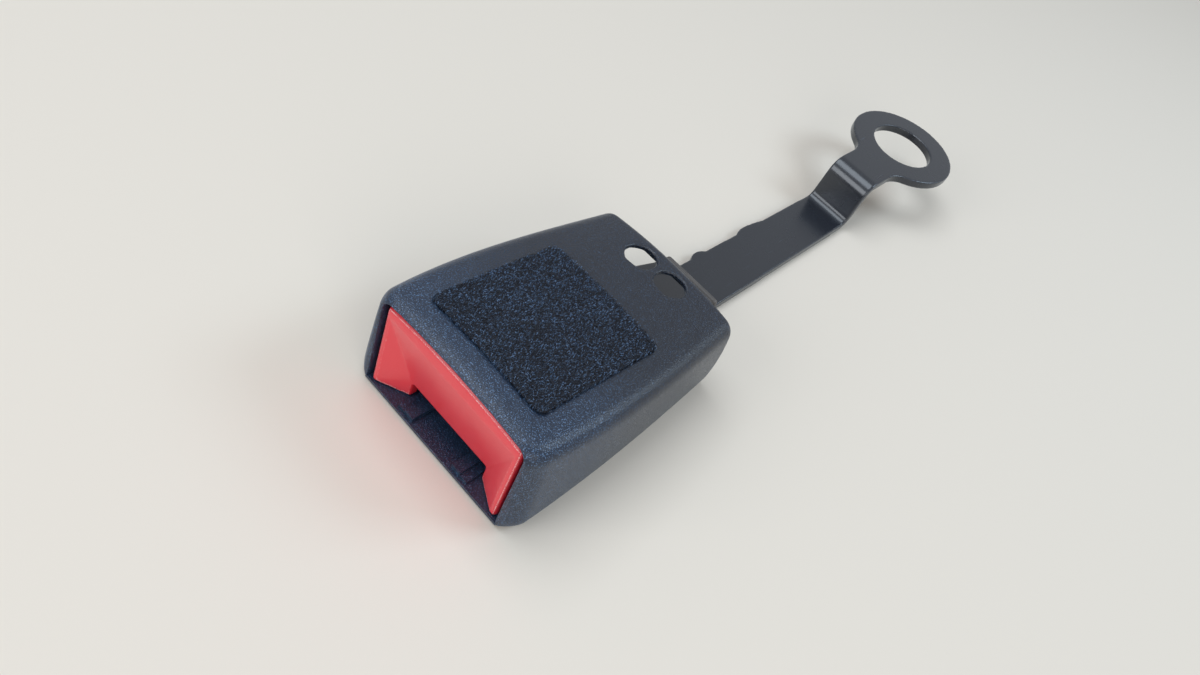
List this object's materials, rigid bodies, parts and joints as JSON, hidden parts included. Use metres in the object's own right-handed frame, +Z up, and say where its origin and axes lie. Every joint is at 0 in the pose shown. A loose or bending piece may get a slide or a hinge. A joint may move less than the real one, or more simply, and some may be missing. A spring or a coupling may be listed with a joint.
{
  "type": "seat belt buckle",
  "caption": "End-release seat belt buckle with a red press button, a hook tape patch on its top and a flat cranked anchor strap ending in a bolt eye.",
  "frame": {"origin": "centre of the whole part's footprint, on the floor under the housing", "axes": "+Y from the mouth along the strap to the eye, +X across the width, +Z up from the housing's flat underside"},
  "size_m": [0.0598, 0.2415, 0.0338],
  "materials": {
    "cover": "fine grained navy grey moulding",
    "tray": "fine grained dark navy moulding",
    "hook_tape": "short stiff hook pile",
    "button": "satin red moulding",
    "spring_steel": "drawn wire",
    "frame_steel": "pressed, zinc plated",
    "plate_steel": "pressed",
    "latch_steel": "hardened",
    "pin_steel": "turned",
    "slider": "natural acetal",
    "strap_steel": "black coated steel",
    "rivet_steel": "blackened",
    "boot": "satin"
  },
  "bodies": {
    "housing": {"top_cover": "cover", "bottom_cover": "tray", "hook_tape_patch": "hook_tape", "button_spring_left": "spring_steel", "button_spring_right": "spring_steel", "latch_frame": "frame_steel", "tongue_guide_plate": "plate_steel", "spring_bridge": "plate_steel", "latch_spring": "spring_steel", "latch_pivot_pin": "pin_steel", "pivot_pin_clip": "spring_steel", "ejector_spring": "spring_steel", "anchor_strap": "strap_steel", "strap_rivet_left": "rivet_steel", "strap_rivet_right": "rivet_steel", "rear_boot": "boot"},
    "button": {"release_button": "button"},
    "lock": {"lock_bar": "pin_steel"},
    "latch": {"latch_plate": "latch_steel"},
    "ejector": {"ejector": "slider"}
  },
  "joints": [
    {"name": "button_slide", "type": "slide", "parent": "housing", "child": "button", "axis": [0, 1, 0], "range_m": [0, 0.005], "stiffness_N_per_m": 800, "springref_m": -0.008, "deforming": ["button_spring_left", "button_spring_right"]},
    {"name": "lock_slide", "type": "slide", "parent": "housing", "child": "lock", "axis": [0, 1, 0], "range_m": [0, 0.005]},
    {"name": "latch_hinge", "type": "hinge", "parent": "housing", "child": "latch", "pos_m": [0, -0.07075, 0.00975], "axis": [-1, 0, 0], "range_deg": [0, 11.05], "deforming": ["latch_spring"]},
    {"name": "ejector_slide", "type": "slide", "parent": "housing", "child": "ejector", "axis": [0, 1, 0], "range_m": [0, 0.01], "stiffness_N_per_m": 400, "springref_m": -0.006, "deforming": ["ejector_spring"]}
  ],
  "couplings": [
    {"joint": "lock_slide", "follows": "button_slide", "ratio": 1},
    {"joint": "latch_hinge", "follows": "button_slide", "rad_per_m": 38.397}
  ]
}
